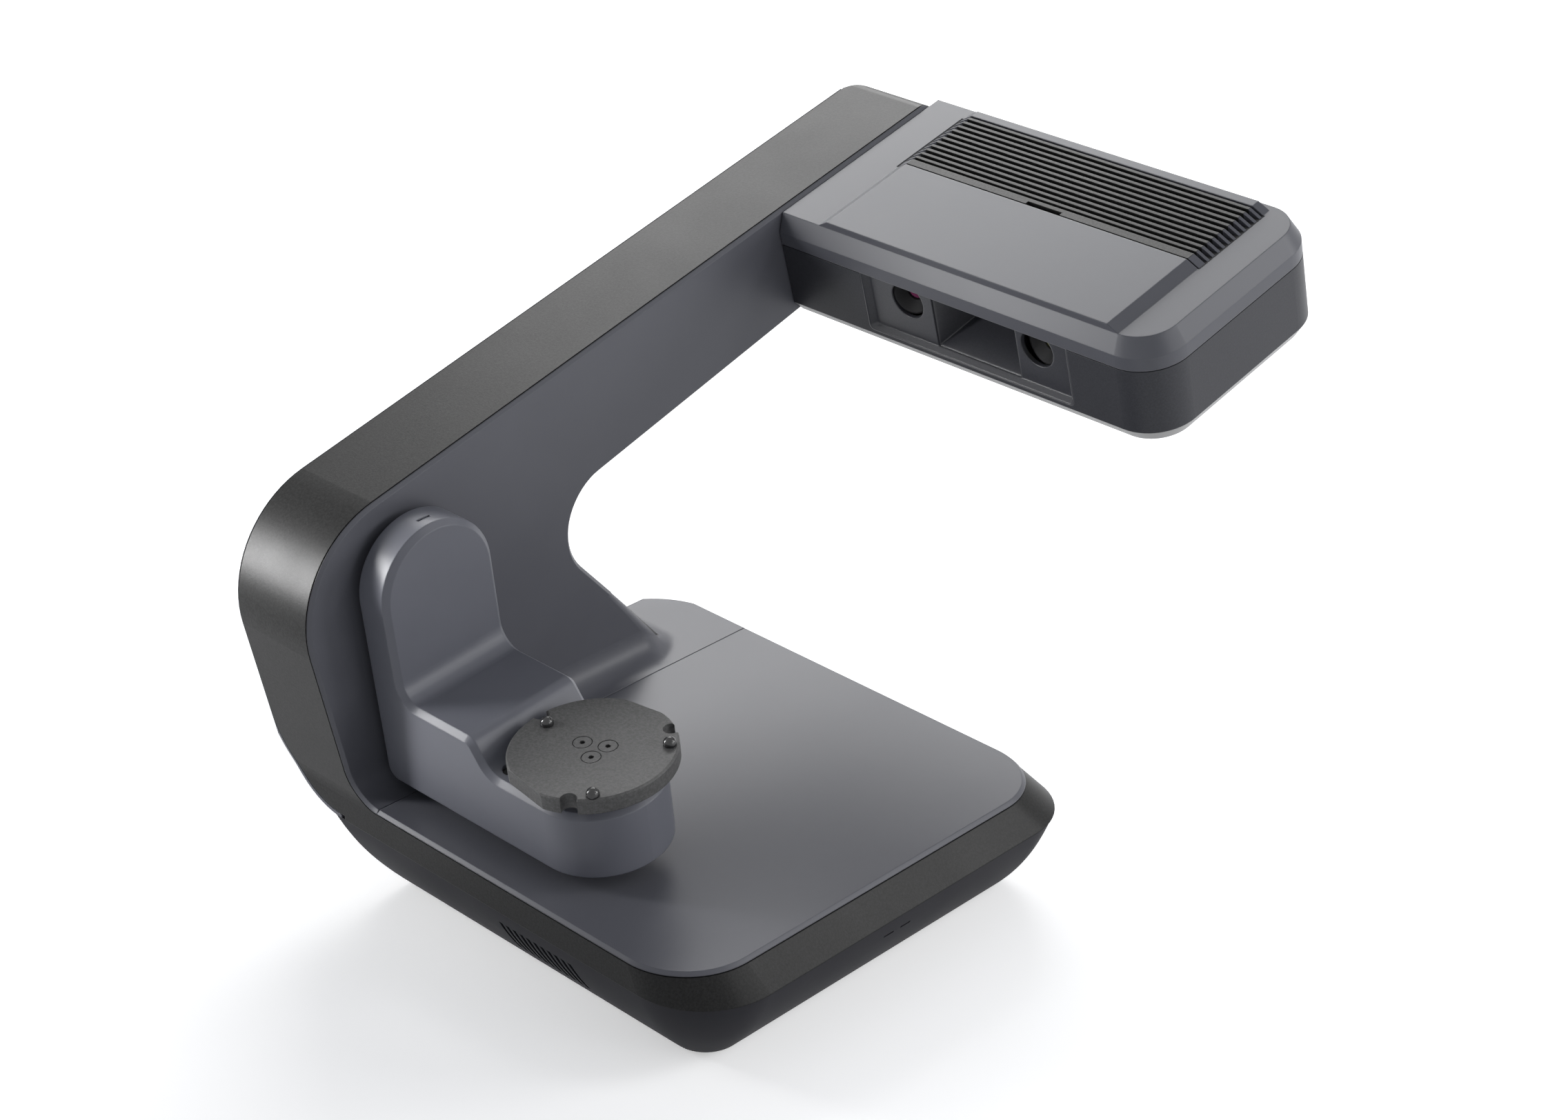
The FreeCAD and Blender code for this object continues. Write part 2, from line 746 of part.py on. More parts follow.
def tilt_pinion():
    start = (belt_left, tilt_motor_y, tilt_motor_z)
    end = (belt_right, tilt_motor_y, tilt_motor_z)
    pulley = grooved_pulley(tilt_pinion_radius, 2.5, start, end)
    shaft = rod(2.5, (belt_left - 3.5, tilt_motor_y, tilt_motor_z),
                (belt_right + 1, tilt_motor_y, tilt_motor_z))
    return joined([pulley, shaft])


def tilt_motor():
    half = motor_side / 2
    side = rounded(tilt_motor_y - half, tilt_motor_y + half, tilt_motor_z - half, tilt_motor_z + half, 4)
    body = prism(side, "yz", -stand_thickness + cover_thickness + 0.5, belt_left - 3)
    body = body.cut(rod(2.9, (belt_left - 4.5, tilt_motor_y, tilt_motor_z),
                        (belt_left, tilt_motor_y, tilt_motor_z)))
    posts = []
    for y in (tilt_motor_y - 13, tilt_motor_y + 13):
        for z in (tilt_motor_z - 13, tilt_motor_z + 13):
            posts.append(rod(2.6, (belt_left - 3, y, z), (frame_left, y, z)))
    return joined([body] + posts)


# An open belt round two wheels, drawn in the plane of the wheels.
def belt_loop(first, first_radius, second, second_radius, thickness, plane, start, end):
    def band(extra):
        r1 = first_radius + extra
        r2 = second_radius + extra
        p = V(first[0], first[1], 0)
        q = V(second[0], second[1], 0)
        span = q - p
        unit = V(span.x, span.y, 0).normalize()
        side = V(-unit.y, unit.x, 0)
        lean = asin((r1 - r2) / span.Length)
        up = side * cos(lean) + unit * sin(lean)
        down = side * -cos(lean) + unit * sin(lean)
        points = [p + up * r1, p - unit * r1, p + down * r1, q + down * r2, q + unit * r2, q + up * r2]
        at = [place(plane, a.x, a.y, start) for a in points]
        edges = [Part.Arc(at[0], at[1], at[2]).toShape(), Part.makeLine(at[2], at[3]),
                 Part.Arc(at[3], at[4], at[5]).toShape(), Part.makeLine(at[5], at[0])]
        return Part.Face(Part.Wire(edges)).extrude(place(plane, 0, 0, end - start))
    return band(thickness).cut(band(0))


def tilt_belt():
    return belt_loop((pivot_y, pivot_z), tilt_pulley_radius + side_gap, (tilt_motor_y, tilt_motor_z),
                     tilt_pinion_radius + side_gap, belt_thickness, "yz",
                     belt_left + belt_side, belt_right - belt_side)


# Swing arm, drawn about the middle of the turntable's top face
stadium = [
    (arm_back, -arm_half_width, 0),
    (arm_half_width, -arm_half_width, arm_half_width - 0.01),
    (arm_half_width, arm_half_width, arm_half_width - 0.01),
    (arm_back, arm_half_width, 0),
]
arch_top = pivot_height + arm_half_width
arch = [
    (-arm_half_width, tray_bottom, 0),
    (arm_half_width, tray_bottom, 0),
    (arm_half_width, arch_top, arm_half_width - 0.01),
    (-arm_half_width, arch_top, arm_half_width - 0.01),
]
arm_side = [
    (arm_back, tray_bottom, 6.0),
    (arm_half_width, tray_bottom, 0),
    (arm_half_width, tray_height, 0),
    (-37.7, tray_height, 12.0),
    (-48.2, ledge_height, 7.0),
    (plate_front, ledge_height, 10.0),
    (plate_front, arch_top, 0),
    (arm_back, arch_top, 0),
]


def arm_form():
    side = prism(arm_side, "xz", -arm_half_width - 1, arm_half_width + 1)
    plan = prism(stadium, "xy", tray_bottom - 1, arch_top + 1)
    front = prism(arch, "yz", arm_back - 1, arm_half_width + 1)
    form = side.common(plan).common(front).removeSplitter()
    return form


def bevelled_arm_form():
    form = arm_form()
    chosen = []
    for edge in form.Edges:
        bound = edge.BoundBox
        flat_top = abs(bound.ZMin - tray_height) < 0.01 and abs(bound.ZMax - tray_height) < 0.01
        front_face = abs(bound.XMin - plate_front) < 0.01 and abs(bound.XMax - plate_front) < 0.01
        flank = bound.YMax - bound.YMin < 0.05 and abs(abs(bound.YMin) - arm_half_width) < 0.05
        upper = bound.ZMin > tray_height - 0.1 and bound.XMin > plate_front - 0.1 and bound.XMax < 0.2
        if flat_top and (bound.YMax - bound.YMin > 5 and bound.XMax > 5):
            chosen.append(edge)
        elif front_face and bound.ZMin > pivot_height - 1 and bound.YMax - bound.YMin > 5:
            chosen.append(edge)
        elif flank and upper:
            chosen.append(edge)
    return form.makeChamfer(arm_bevel, chosen)


def swing_shell():
    shell = bevelled_arm_form()
    bottom_inside = tray_bottom + arm_cover_thickness
    back_inside = arm_back + arm_cover_thickness
    tray_hollow = prism(inset(stadium, arm_wall), "xy", bottom_inside, tray_height - arm_wall)
    bottom_opening = prism(inset(stadium, arm_cover_edge), "xy", tray_bottom - 1, bottom_inside)
    plate_hollow = prism(inset(arch, arm_wall), "yz", back_inside, plate_front - arm_wall)
    back_opening = prism(inset(arch, arm_cover_edge), "yz", arm_back - 1, back_inside)
    back_opening = back_opening.common(box(-far, far, -far, far, back_cover_bottom, far))
    shell = shell.cut(tray_hollow).cut(bottom_opening).cut(plate_hollow).cut(back_opening)
    shell = shell.cut(rod(spindle_radius + 1.5, (0, 0, tray_height - 5), (0, 0, tray_height + 1)))
    slot = box(-106.2, -104.6, -1.0, 6.5, arch_top - 2.0, arch_top + 1)
    cap = rod(arm_cap_radius, (cap_u, cap_v, tray_height - cap_depth), (cap_u, cap_v, tray_height + 3))
    return shell.cut(slot).cut(cap)


cap_u = -33.0
cap_v = -23.5
cap_depth = 2.0
cap_top = tray_height - 0.6
back_cover_bottom = tray_bottom + 8.0


def arm_cap():
    body = rod(arm_cap_radius, (cap_u, cap_v, tray_height - cap_depth), (cap_u, cap_v, cap_top))
    return body.cut(rod(1.5, (cap_u, cap_v, cap_top - 0.7), (cap_u, cap_v, tray_height)))


def swing_back_cover():
    plate = prism(inset(arch, arm_cover_edge), "yz", arm_back, arm_back + arm_cover_thickness)
    plate = plate.common(box(-far, far, -far, far, back_cover_bottom, far))
    for v, w in back_screws:
        plate = plate.cut(rod(back_screw_radius, (arm_back - 1, v, w), (arm_back + screw_pocket, v, w)))
    return plate


back_screw_upper = arm_half_width - 11.25
back_screw_lower = arm_half_width - 7.25
back_screw_radius = 2.6
back_screws = [(-back_screw_upper, pivot_height + 12.3), (back_screw_upper, pivot_height + 12.3),
               (-back_screw_lower, 0), (back_screw_lower, 0)]


def back_cover_screws():
    screws = []
    for v, w in back_screws:
        head = rod(back_screw_radius, (arm_back + 0.2, v, w), (arm_back + screw_pocket, v, w))
        screws.append(head.cut(rod(0.9, (arm_back, v, w), (arm_back + 0.8, v, w))))
    return Part.makeCompound(screws)


def swing_bottom_cover():
    plate = prism(inset(stadium, arm_cover_edge), "xy", tray_bottom, tray_bottom + arm_cover_thickness)
    return plate.cut(box(-far, arm_back + 6.0, -far, far, -far, far))


# Turntable drive, hung under the tray's roof
tray_roof = tray_height - arm_wall
table_wheel_low = -41.5
table_wheel_high = -34.0
pinion_bore = 1.5
motor_radius = 14.0


def table_bearing():
    flange = rod(20.0, (0, 0, tray_roof - 4), (0, 0, tray_roof))
    barrel = rod(13.0, (0, 0, table_wheel_high + 0.5), (0, 0, tray_roof))
    bore = rod(spindle_radius + running_gap, (0, 0, -40), (0, 0, 0))
    return joined([flange, barrel]).cut(bore)


def table_spindle():
    shaft = rod(spindle_radius, (0, 0, table_wheel_low - 0.5), (0, 0, -disc_thickness))
    hub = rod(15.0, (0, 0, tray_height + 0.9), (0, 0, -disc_thickness))
    return joined([shaft, hub])


def table_pulley():
    return grooved_pulley(table_pulley_radius, spindle_radius, (0, 0, table_wheel_low),
                          (0, 0, table_wheel_high))


def table_pinion():
    pulley = grooved_pulley(table_pinion_radius, pinion_bore, (table_motor_u, 0, table_wheel_low),
                            (table_motor_u, 0, table_wheel_high))
    shaft = rod(pinion_bore, (table_motor_u, 0, table_wheel_low - 0.5),
                (table_motor_u, 0, table_wheel_high + 3.0))
    return joined([pulley, shaft])


def table_motor():
    bottom = table_wheel_high + 2.0
    can = rod(motor_radius, (table_motor_u, 0, bottom), (table_motor_u, 0, tray_roof))
    ears = prism(rounded(table_motor_u - 6, table_motor_u + 6, -21, 21, 5), "xy", tray_roof - 2, tray_roof)
    body = joined([can, ears])
    return body.cut(rod(pinion_bore + 0.4, (table_motor_u, 0, bottom - 1), (table_motor_u, 0, bottom + 1.5)))


def table_belt():
    return belt_loop((0, 0), table_pulley_radius + side_gap, (table_motor_u, 0),
                     table_pinion_radius + side_gap, belt_thickness, "xy",
                     table_wheel_low + belt_side, table_wheel_high - belt_side)


ball_radius = 3.2
ball_places = [(-30.5, -0.5), (26.5, 23.8), (27.0, -24.8)]
ball_rise = 0.9
notch_places = [(-38.4, 3.0), (18.0, 33.0), (20.0, -33.4)]
disc_screw_places = [(-6.9, 0.0), (4.7, 5.35), (4.8, -5.4)]
screw_head_radius = 4.5
screw_head_depth = 2.5
screw_head_sink = 0.1
screw_ring_gap = 0.3
screw_ring_depth = 0.8
screw_shank_radius = 2.0
hex_radius = 1.44
hex_depth = 1.8
notch_radius = 4.0
flat_angle = 98.0
disc_chamfer = 0.8


def turntable_disc():
    radius = disc_diameter / 2
    disc = rod(radius, (0, 0, -disc_thickness), (0, 0, 0))
    rim = [e for e in disc.Edges if abs(e.BoundBox.ZMin) < 0.01 and e.BoundBox.ZMax < 0.01]
    disc = disc.makeChamfer(disc_chamfer, rim)
    for angle in (flat_angle, -flat_angle):
        block = box(flat_distance, far, -far, far, -far, far)
        block.rotate(V(0, 0, 0), V(0, 0, 1), angle)
        disc = disc.cut(block)
    for u, v in notch_places:
        disc = disc.cut(rod(notch_radius, (u, v, -far), (u, v, far)))
    for u, v in ball_places:
        disc = disc.cut(Part.makeSphere(ball_radius, V(u, v, ball_rise)))
    for u, v in disc_screw_places:
        ring = screw_head_radius + screw_ring_gap
        disc = disc.cut(rod(ring, (u, v, -screw_ring_depth), (u, v, 1)))
        disc = disc.cut(screw_head_form(u, v))
        disc = disc.cut(rod(screw_shank_radius, (u, v, -far), (u, v, 0)))
    return disc


def screw_head_form(u, v):
    return cone(screw_head_radius - screw_head_depth, screw_head_radius, (u, v, -screw_head_depth), (u, v, 0))


def disc_balls():
    return Part.makeCompound([Part.makeSphere(ball_radius, V(u, v, ball_rise)) for u, v in ball_places])


def disc_screw(u, v):
    head = screw_head_form(u, v).cut(box(-far, far, -far, far, -screw_head_sink, 1))
    shank = rod(screw_shank_radius, (u, v, -disc_thickness), (u, v, -screw_head_depth))
    points = [V(u + hex_radius * cos(pi * i / 3), v + hex_radius * sin(pi * i / 3), 0) for i in range(7)]
    socket = Part.Face(Part.makePolygon(points)).extrude(V(0, 0, -hex_depth))
    return joined([head, shank]).cut(socket)


def disc_screws():
    return Part.makeCompound([disc_screw(u, v) for u, v in disc_screw_places])


# Scan head, drawn with its x axis along the head, y back along the arm's slope and z square to the top
def head_outline(distance):
    return [
        (head_gap, -head_flank - 0.3 + distance, 0),
        (head_length + head_flank - distance, -head_flank - 0.3 + distance, head_corner + 4 - distance),
        (head_length + head_flank - distance, head_depth + head_flank - distance, head_corner + 4 - distance),
        (head_gap, head_depth + head_flank - distance, 0),
    ]


def panel_form(level):
    run = panel_slope_run
    corners = [
        (panel_left + run * level / panel_rise, level, 0),
        (panel_right - run * level / panel_rise, level, 0),
        (panel_right + run / panel_rise, -1.0, 0),
        (panel_left - run / panel_rise, -1.0, 0),
    ]
    return [corners[3], corners[2], corners[1], corners[0]]


def head_top_cover():
    crown = loft(head_outline(0), -head_shoulder, head_outline(head_flank + 0.3), 0, "xy")
    skirt = prism(head_outline(0), "xy", -head_seam, -head_shoulder)
    panel = prism(panel_form(panel_rise), "xz", 0, panel_back)
    cover = joined([crown, skirt, panel])
    hollow = joined([
        loft(head_outline(head_wall), -head_shoulder, head_outline(head_flank + head_wall + 0.3), -head_wall,
             "xy"),
        prism(head_outline(head_wall), "xy", -head_seam - 1, -head_shoulder),
    ])
    hollow = hollow.common(box(head_gap + head_wall, far, -far, far, -50, 50))
    opening = prism(panel_form(panel_rise), "xz", grille_front, grille_back)
    opening = opening.fuse(box(panel_left - 1, panel_right + 1, grille_front, grille_back,
                               panel_rise - 0.1, 10))
    vent = box(panel_left + 12, panel_right - 12, grille_front + 4, grille_back - 4, -10, 5)
    ledge = box(panel_left - 1, panel_right + 1, grille_front, grille_back, -1.0, 10)
    return cover.cut(hollow).cut(opening).cut(vent).cut(ledge)


def grille_backing():
    plate = box(panel_left - 1, panel_right + 1, grille_front, grille_back, -1.0, -0.2)
    for i in range(10):
        x = panel_left + 16 + i * (panel_right - panel_left - 22.6) / 10
        plate = plate.cut(box(x, x + 12, grille_front + 8, grille_back - 6, -2, 1))
    return plate


def head_grille():
    form = prism(panel_form(panel_rise - 0.05), "xz", grille_front, grille_back)
    wide = form.common(box(0, head_length + 20, grille_front + 0.8, grille_front + 0.8 + wide_slat, -0.2, 10))
    middle = (panel_left + panel_right) / 2
    wide = wide.cut(box(middle - 10.9, middle + 10.9, grille_front, grille_front + 3.0, 1.0, 10))
    slats = [wide]
    for i in range(slat_count):
        start = grille_front + 7.2 + i * slat_pitch
        slats.append(form.common(box(0, head_length + 20, start, start + slat_width, -0.2, 10)))
    ribs = [box(x, x + 2, grille_front + 1.0, grille_back - 1.0, -0.2, 1.0)
            for x in (panel_left + 14, middle - 1, panel_right - 16)]
    return joined(slats + ribs)


def head_lower_housing():
    outer = prism(head_outline(0), "xy", -head_wall_bottom, -head_seam)
    inner = prism(head_outline(head_wall), "xy", -head_wall_bottom - 1, -head_seam + 1)
    inner = inner.common(box(head_gap + head_wall, far, -far, far, -100, 50))
    shell = outer.cut(inner)
    groove = outer.cut(prism(head_outline(0.7), "xy", -far, far)).common(
        box(-far, far, -far, far, -head_seam - 0.5, -head_seam))
    opening = prism([(window_left, -window_bottom, 3), (window_right, -window_bottom, 3),
                     (window_right, -window_top + 1, 0), (window_left, -window_top + 1, 0)], "xz", -30, 20)
    mount_hole = box(-10, head_gap + head_wall + 1, 40, 80, -46, -24)
    return shell.cut(groove).cut(opening).cut(mount_hole)


pan_floor = -head_bottom + head_wall
pan_screws = [(16, 10), (head_length - 13, 22), (head_length - 13, head_depth - 21), (16, head_depth - 13)]


def head_base_pan():
    outer = loft(head_outline(head_flank + 0.35), -head_bottom, head_outline(0), -head_wall_bottom, "xy")
    pan = outer.cut(prism(head_outline(head_flank + head_wall), "xy", pan_floor, 0))
    for x, y in pan_screws:
        pan = pan.cut(rod(screw_pocket_radius, (x, y, -far), (x, y, -head_bottom + screw_pocket)))
    return pan


def head_pan_screws():
    screws = []
    for x, y in pan_screws:
        head = rod(screw_pocket_radius, (x, y, -head_bottom + 0.2), (x, y, -head_bottom + screw_pocket))
        screws.append(head.cut(rod(1.1, (x, y, -head_bottom), (x, y, -head_bottom + 0.8))))
    return Part.makeCompound(screws)


front_d = -head_flank - 0.3
plate_d = front_d + window_recess
shroud_left = left_lens_x + 16.7
shroud_right = right_lens_x - 13.0


def lens_axis(x):
    lean = toe_in if x < projector_x else -toe_in
    return V(sin(radians(lean)), -cos(radians(lean)), 0)


def lens_rod(x, radius, start, end):
    axis = lens_axis(x)
    hub = V(x, plate_d, -lens_height)
    return rod(radius, tuple(hub - axis * start), tuple(hub - axis * end))


def lens_cone(x, start_radius, end_radius, start, end):
    axis = lens_axis(x)
    hub = V(x, plate_d, -lens_height)
    return cone(start_radius, end_radius, tuple(hub - axis * start), tuple(hub - axis * end))


def window_frame():
    corners = [(window_left, -window_bottom, 3), (window_right, -window_bottom, 3),
               (window_right, -window_top, 0), (window_left, -window_top, 0)]
    mouth = [(window_left + 0.8, -window_bottom + 0.8, 2.2), (window_right - 0.8, -window_bottom + 0.8, 2.2),
             (window_right - 0.8, 0, 0), (window_left + 0.8, 0, 0)]
    bed = [(window_left + 3.8, -window_bottom + 2.8, 1.0), (window_right - 2.4, -window_bottom + 2.8, 1.0),
           (window_right - 2.4, 0, 0), (window_left + 3.8, 0, 0)]
    body = prism(corners, "xz", front_d, plate_d + 2.5)
    body = body.cut(loft(mouth, front_d - 0.01, bed, plate_d, "xz"))
    body = body.cut(box(shroud_left, shroud_right, -20, 20, -window_bottom + 2.8, 5))
    for x in (left_lens_x, right_lens_x):
        body = body.cut(lens_rod(x, lens_radius, -8, 8))
    return body


def projector_shroud():
    near = rounded(shroud_left, shroud_right, -window_bottom + 2.8, -window_top)
    end = rounded(shroud_left + 14, shroud_right - 14, -window_bottom + 17, -window_top)
    near_outer = rounded(shroud_left - 1.5, shroud_right + 1.5, -window_bottom + 1.3, -window_top)
    end_inner = rounded(shroud_left + 16, shroud_right - 16, -window_bottom + 19, -window_top - 1)
    outer = loft([(a, b, 0) for a, b, r in near_outer], plate_d + 2.5, end, 34.0, "xz")
    outer = outer.fuse(box(shroud_left + 12, shroud_right - 12, 32, 34, -window_bottom + 15.5, -window_top))
    outer = outer.fuse(box(shroud_left, shroud_right, plate_d, plate_d + 3, -window_bottom + 2.8,
                           -window_top))
    hollow = loft(near, plate_d - 0.01, [(a, b, 0) for a, b, r in end_inner], 32.5, "xz")
    hollow = hollow.common(box(-far, far, -20, 40, -far, -window_top - 1))
    eye = rod(5.0, (projector_x, 28, projector_n), (projector_x, 40, projector_n))
    return outer.removeSplitter().cut(hollow).cut(eye)


projector_x = (shroud_left + shroud_right) / 2
projector_n = -25.0


def projector_lens():
    barrel = rod(5.0, (projector_x, 31, projector_n), (projector_x, 34, projector_n))
    barrel = barrel.fuse(rod(7.0, (projector_x, 34, projector_n), (projector_x, 42, projector_n)))
    return barrel.removeSplitter()


def projector_body():
    body = box(projector_x - 20, projector_x + 20, 42, 80, -head_bottom + 6.5, -18)
    body = body.fuse(box(projector_x - 18, projector_x + 18, 44, 78, pan_floor, -head_bottom + 6.5))
    for i in range(6):
        y = 48 + i * 5
        body = body.cut(box(projector_x - 21, projector_x - 16, y, y + 2.5, -head_bottom + 12, -17))
        body = body.cut(box(projector_x + 16, projector_x + 21, y, y + 2.5, -head_bottom + 12, -17))
    return body


def camera_barrel(x):
    barrel = lens_rod(x, lens_radius - 0.3, 3.0, 18.0)
    barrel = barrel.cut(lens_cone(x, lens_radius - 1.2, 4.6, 2.9, 8.0))
    return barrel.cut(lens_rod(x, 4.6, 7.5, 12.0))


def camera_glass(x):
    glass = Part.makeCylinder(4.6, 3.8)
    glass = glass.makeFillet(1.6, [e for e in glass.Edges if e.BoundBox.ZMin > 3.7])
    axis = lens_axis(x)
    glass.Placement = FreeCAD.Placement(V(x, plate_d, -lens_height) - axis * 12.0,
                                        FreeCAD.Rotation(V(0, 0, 1), axis))
    return glass


def camera_body(x):
    lean = toe_in if x < projector_x else -toe_in
    body = box(-15, 15, 18.0, 46.0, -15, 15)
    body = body.cut(box(-16, 16, 40, 42, -12, 12).cut(box(-13, 13, 30, 50, -20, 20)))
    body.rotate(V(0, 0, 0), V(0, 0, 1), lean)
    body.translate(V(x, plate_d, -lens_height))
    return body


bench_top = -lens_height - 15.0


def optical_bench():
    plate = prism(rounded(window_left - 4.5, window_right + 5.5, 12, 84, 4), "xy", bench_top - 3, bench_top)
    plate = plate.cut(box(projector_x - 20, projector_x + 20, 0, 80, -60, 0))
    plate = plate.cut(box(shroud_left - 3, shroud_right + 3, 0, 36, -60, 0))
    for x, y in fan_posts:
        plate = plate.cut(rod(3.2, (x, y, -far), (x, y, 0)))
    legs = [rod(3.5, (x, y, pan_floor), (x, y, bench_top - 3))
            for x in (window_left + 1.5, window_right - 0.5) for y in (20, 78)]
    legs += [rod(3.5, (x, 78, pan_floor), (x, 78, bench_top - 3))
             for x in (projector_x - 34, projector_x + 26)]
    tie = box(projector_x - 36, projector_x + 28, 80, 84, bench_top - 3, bench_top)
    return joined([plate, tie] + legs)


def heat_sink():
    base = box(projector_x - 18, projector_x + 18, 46, 78, -18, -16)
    fins = [box(projector_x - 18 + i * 4.0, projector_x - 16.8 + i * 4.0, 46, 78, -16, -13.5)
            for i in range(9)]
    return joined([base] + fins)


head_fan_x = head_length - 44.0
head_fan_d = grille_back - 20.0
fan_posts = [(head_fan_x + 17, head_fan_d - 17), (head_fan_x + 17, head_fan_d + 17),
             (head_fan_x - 17, head_fan_d + 17)]


def head_fan_housing():
    x = head_fan_x
    d = head_fan_d
    half = fan_side / 2
    bottom = -13.0
    strut_top = bottom + fan_strut
    frame = prism(rounded(x - half, x + half, d - half, d + half, 3), "xy", bottom, bottom + fan_depth)
    frame = frame.cut(rod(fan_bore, (x, d, bottom - 7), (x, d, 0)))
    hub = rod(fan_hub, (x, d, bottom), (x, d, strut_top))
    struts = [box(x - fan_reach, x + fan_reach, d - 1, d + 1, bottom, strut_top),
              box(x - 1, x + 1, d - fan_reach, d + fan_reach, bottom, strut_top)]
    posts = [rod(2.5, (post_x, post_d, pan_floor), (post_x, post_d, bottom)) for post_x, post_d in fan_posts]
    return joined([frame, hub] + struts + posts)


def head_fan_rotor():
    wheel = fan_wheel(fan_bore - 0.8, fan_hub, 7.5, 7)
    wheel.translate(V(head_fan_x, head_fan_d, -11.4))
    return wheel


def head_board():
    back = head_depth - 2.9
    board = box(20, 48, back - 30, back, -44, -42.4)
    chips = [box(24, 34, back - 24, back - 14, -42.4, -41), box(36, 46, back - 20, back - 10, -42.4, -39),
             box(30, 44, back - 8, back - 3, -42.4, -36)]
    posts = [rod(2.5, (x, y, pan_floor), (x, y, -44))
             for x in (24, 44) for y in (back - 26, back - 4)]
    return joined([board] + chips + posts)


def head_mount_bracket():
    tongue = box(frame_right, head_gap + head_wall + 14, 42, 78, -44, -40)
    flange = box(frame_right, frame_right + 3, 42, 78, -46, -26)
    block = box(head_gap + head_wall, head_gap + head_wall + 3, 42, 78, -44, -26)
    column = box(head_gap + head_wall + 3, head_gap + head_wall + 14, 42, 78, pan_floor, -44)
    return joined([tongue, flange, block, column])


# Every piece with its name
stand_pieces = {
    "c_inner_cover": c_inner_cover,
    "c_outer_cover": c_outer_cover,
    "stand_band": stand_band,
    "base_top_plate": base_top_plate,
    "bottom_shell": bottom_shell,
    "feet": feet,
    "shell_screws": shell_screws,
    "ballast_plate": ballast_plate,
    "socket_panel": socket_panel,
    "power_inlet": power_inlet,
    "data_socket": data_socket,
    "switch_frame": switch_frame,
    "switch_rocker": switch_rocker,
    "control_board": control_board,
    "power_supply": power_supply,
    "base_fan_housing": base_fan_housing,
    "base_fan_rotor": base_fan_rotor,
    "spine_frame": spine_frame,
    "tilt_bearing_block": tilt_bearing_block,
    "tilt_shaft": tilt_shaft,
    "tilt_pulley": tilt_pulley,
    "tilt_pinion": tilt_pinion,
    "tilt_motor": tilt_motor,
    "tilt_belt": tilt_belt,
}
arm_pieces = {
    "swing_shell": swing_shell,
    "swing_back_cover": swing_back_cover,
    "swing_bottom_cover": swing_bottom_cover,
    "back_cover_screws": back_cover_screws,
    "arm_cap": arm_cap,
    "table_bearing": table_bearing,
    "table_spindle": table_spindle,
    "table_pulley": table_pulley,
    "table_pinion": table_pinion,
    "table_motor": table_motor,
    "table_belt": table_belt,
    "turntable_disc": turntable_disc,
    "disc_balls": disc_balls,
    "disc_screws": disc_screws,
}
head_pieces = {
    "head_top_cover": head_top_cover,
    "head_grille": head_grille,
    "grille_backing": grille_backing,
    "head_lower_housing": head_lower_housing,
    "head_base_pan": head_base_pan,
    "head_pan_screws": head_pan_screws,
    "window_frame": window_frame,
    "projector_shroud": projector_shroud,
    "projector_lens": projector_lens,
    "projector_body": projector_body,
    "left_camera_barrel": lambda: camera_barrel(left_lens_x),
    "right_camera_barrel": lambda: camera_barrel(right_lens_x),
    "left_camera_glass": lambda: camera_glass(left_lens_x),
    "right_camera_glass": lambda: camera_glass(right_lens_x),
    "left_camera_body": lambda: camera_body(left_lens_x),
    "right_camera_body": lambda: camera_body(right_lens_x),
    "optical_bench": optical_bench,
    "heat_sink": heat_sink,
    "head_fan_housing": head_fan_housing,
    "head_fan_rotor": head_fan_rotor,
    "head_board": head_board,
    "head_mount_bracket": head_mount_bracket,
}

shapes = {name: make() for name, make in stand_pieces.items()}
shapes.update({name: to_arm(make()) for name, make in arm_pieces.items()})
shapes.update({name: to_head(make()) for name, make in head_pieces.items()})

# The origin is the middle of the underside of the whole scanner.
bounds = Part.makeCompound(list(shapes.values())).BoundBox
shift = V(-(bounds.XMin + bounds.XMax) / 2, -(bounds.YMin + bounds.YMax) / 2, -bounds.ZMin)
for name, shape in shapes.items():
    shape.translate(shift)
    shape.exportStep("parts/" + name + ".step")
print(len(shapes), "pieces; moved by", [round(value, 3) for value in shift])
print("overall", [round(value, 2) for value in (bounds.XLength, bounds.YLength, bounds.ZLength)])
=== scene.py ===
import json
import math

import bpy
from mathutils import Matrix, Vector


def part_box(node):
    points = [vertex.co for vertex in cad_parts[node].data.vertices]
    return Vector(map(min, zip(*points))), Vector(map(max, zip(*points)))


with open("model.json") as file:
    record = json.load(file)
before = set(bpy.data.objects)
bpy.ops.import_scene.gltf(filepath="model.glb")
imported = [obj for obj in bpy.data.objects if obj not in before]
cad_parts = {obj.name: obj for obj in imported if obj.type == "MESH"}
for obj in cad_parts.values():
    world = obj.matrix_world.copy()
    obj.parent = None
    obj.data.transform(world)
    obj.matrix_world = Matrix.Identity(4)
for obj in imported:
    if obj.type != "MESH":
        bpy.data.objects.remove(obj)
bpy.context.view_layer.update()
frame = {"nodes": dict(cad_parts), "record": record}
nodes = frame["nodes"]
scene = bpy.context.scene


# Shader parts, for a material or for the world
def new_material(name):
    material = bpy.data.materials.new(name)
    material.use_nodes = True
    return material


def add(owner, kind, **values):
    """Adds a shader node and sets its properties."""
    node = owner.node_tree.nodes.new(kind)
    for key, value in values.items():
        setattr(node, key, value)
    return node


def feed(owner, target, source):
    """Joins an input to the socket that gives its value, or sets it to a plain value."""
    if isinstance(source, bpy.types.NodeSocket):
        owner.node_tree.links.new(source, target)
    else:
        target.default_value = source


def rgba(colour, times=1.0):
    """A colour made darker or lighter, with full opacity."""
    return (*[channel * times for channel in colour], 1.0)


def shader_of(material):
    return material.node_tree.nodes["Principled BSDF"]


